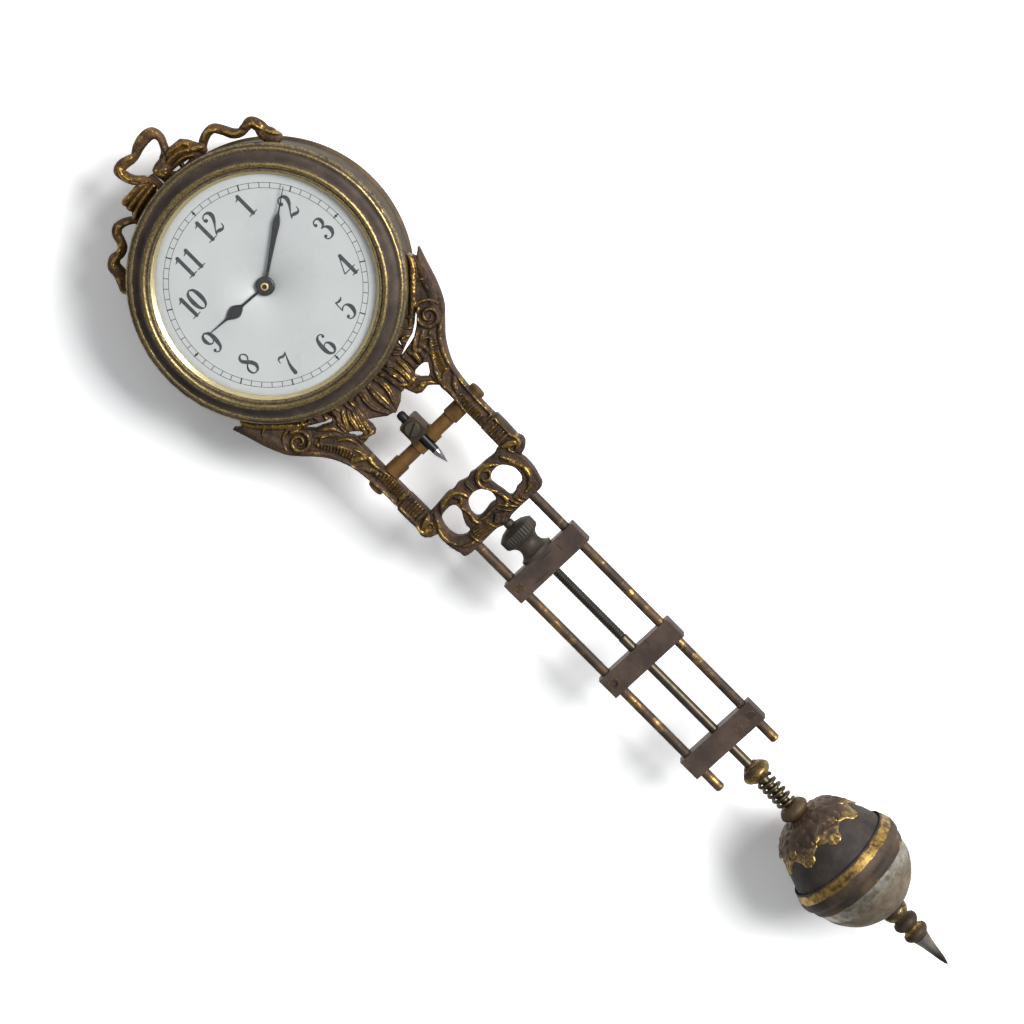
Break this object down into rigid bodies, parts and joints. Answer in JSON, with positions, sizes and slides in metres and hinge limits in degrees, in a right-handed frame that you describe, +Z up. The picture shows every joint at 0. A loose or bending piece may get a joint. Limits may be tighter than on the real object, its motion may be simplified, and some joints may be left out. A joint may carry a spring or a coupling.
{
  "type": "mystery clock swinging arm",
  "caption": "Drum clock on cast side arms that hangs and swings on a steel point, with guide rods, cross bars, rating nut, sprung bob and turned finial.",
  "frame": {"origin": "tip of the steel pivot pin, the point that the whole clock hangs and swings on", "axes": "+Z up the clock to twelve o'clock, -Y out of the dial towards the viewer, +X to the viewer's right"},
  "size_m": [0.07, 0.0374, 0.2949],
  "materials": {
    "case_brass": "aged, brown in the hollows",
    "gilt": "gilt ridges with dark hollows",
    "cast_bronze": "dark patina with gold wear",
    "rod_brass": "drawn, tarnished",
    "bar_bronze": "chocolate patina, matte",
    "bob_dark": "blackened, gold at the leaf edges",
    "bob_bowl": "brown-grey, worn bright",
    "movement_brass": "polished",
    "steel": "ground",
    "blued_steel": "black",
    "spring_steel": "dark, oiled",
    "enamel": "gloss white enamel",
    "glass": "clear",
    "lead": "dull"
  },
  "bodies": {
    "frame": {"case_drum": "case_brass", "bezel": "gilt", "glass": "glass", "sight_ring": "gilt", "dial": "enamel", "back_cover": "case_brass", "ribbon_crest": "cast_bronze", "case_screws": "steel", "left_arm": "cast_bronze", "right_arm": "cast_bronze", "leaf_spray": "cast_bronze", "crossbar": "case_brass", "crossbar_screws": "case_brass", "pivot_block": "cast_bronze", "block_screws": "cast_bronze", "pivot_pin": "steel", "yoke_plate": "cast_bronze", "guide_rods": "rod_brass", "top_bar": "bar_bronze", "bottom_bar": "bar_bronze", "bar_pins": "rod_brass", "front_plate": "movement_brass", "back_plate": "movement_brass", "pillars": "movement_brass", "plate_screws": "blued_steel", "anchor_cock": "movement_brass", "click_spring": "steel"},
    "centre": {"centre_arbor": "steel", "centre_wheel": "movement_brass", "cannon_pinion": "steel", "minute_hand": "blued_steel", "hand_collet": "movement_brass", "set_knob": "case_brass"},
    "hour": {"hour_wheel": "movement_brass", "hour_hand": "blued_steel"},
    "motion": {"minute_wheel": "movement_brass"},
    "power": {"barrel": "movement_brass", "barrel_cap": "movement_brass", "mainspring": "spring_steel"},
    "third": {"third_wheel": "movement_brass"},
    "escape": {"escape_wheel": "movement_brass"},
    "anchor": {"pallet_anchor": "steel", "anchor_arbor": "steel", "inner_pendulum": "movement_brass"},
    "winding": {"winding_arbor": "steel", "ratchet_wheel": "steel", "winding_key": "case_brass"},
    "click": {"click": "steel"},
    "nut": {"rating_nut": "bar_bronze"},
    "rod": {"centre_rod": "rod_brass", "middle_bar": "bar_bronze", "upper_collar": "rod_brass", "bob_spring": "spring_steel"},
    "bob": {"lower_collar": "rod_brass", "bob_upper": "bob_dark", "bob_leaves": "bob_dark", "bob_band": "gilt", "bob_lower": "bob_bowl", "bob_core": "lead"},
    "finial": {"finial": "rod_brass"}
  },
  "joints": [
    {"name": "minute_turn", "type": "hinge", "parent": "frame", "child": "centre", "pos_m": [0, 0, 0.063], "axis": [0, 1, 0], "continuous": true},
    {"name": "hour_turn", "type": "hinge", "parent": "frame", "child": "hour", "pos_m": [0, 0, 0.063], "axis": [0, 1, 0], "continuous": true},
    {"name": "motion_turn", "type": "hinge", "parent": "frame", "child": "motion", "pos_m": [0, 0, 0.057], "axis": [0, 1, 0], "continuous": true},
    {"name": "barrel_turn", "type": "hinge", "parent": "frame", "child": "power", "pos_m": [-0.0099, 0, 0.0531], "axis": [0, 1, 0], "continuous": true},
    {"name": "third_turn", "type": "hinge", "parent": "frame", "child": "third", "pos_m": [0.00813, 0, 0.07169], "axis": [0, 1, 0], "continuous": true},
    {"name": "escape_turn", "type": "hinge", "parent": "frame", "child": "escape", "pos_m": [0, 0, 0.0765], "axis": [0, 1, 0], "continuous": true},
    {"name": "anchor_rock", "type": "hinge", "parent": "frame", "child": "anchor", "pos_m": [0, 0, 0.0851], "axis": [0, 1, 0], "range_deg": [-2.5, 2.5]},
    {"name": "winding_turn", "type": "hinge", "parent": "frame", "child": "winding", "pos_m": [-0.0099, 0, 0.0531], "axis": [0, -1, 0], "range_deg": [0, 16]},
    {"name": "click_lift", "type": "hinge", "parent": "frame", "child": "click", "pos_m": [-0.0047, 0, 0.0477], "axis": [0, 1, 0], "range_deg": [0, 7.4]},
    {"name": "nut_turn", "type": "hinge", "parent": "frame", "child": "nut", "pos_m": [0, 0, -0.026], "axis": [0, 0, 1], "range_deg": [-2101, 1801]},
    {"name": "rod_slide", "type": "slide", "parent": "frame", "child": "rod", "axis": [0, 0, 1], "range_m": [-0.003, 0.0035]},
    {"name": "finial_turn", "type": "hinge", "parent": "bob", "child": "finial", "pos_m": [0, 0, -0.17], "axis": [0, 0, 1], "range_deg": [0, 1501]},
    {"name": "bob_slide", "type": "slide", "parent": "rod", "child": "bob", "axis": [0, 0, 1], "range_m": [0, 0.0025], "deforming": ["bob_spring"]}
  ],
  "couplings": [
    {"joint": "hour_turn", "follows": "minute_turn", "ratio": 0.083333},
    {"joint": "motion_turn", "follows": "minute_turn", "ratio": -0.33333},
    {"joint": "barrel_turn", "follows": "minute_turn", "ratio": -0.11111},
    {"joint": "third_turn", "follows": "minute_turn", "ratio": -7.5},
    {"joint": "escape_turn", "follows": "minute_turn", "ratio": 60},
    {"joint": "click_lift", "follows": "winding_turn", "ratio": 0.45},
    {"joint": "nut_turn", "follows": "rod_slide", "rad_per_m": -10472},
    {"joint": "finial_turn", "follows": "bob_slide", "rad_per_m": 10472}
  ]
}
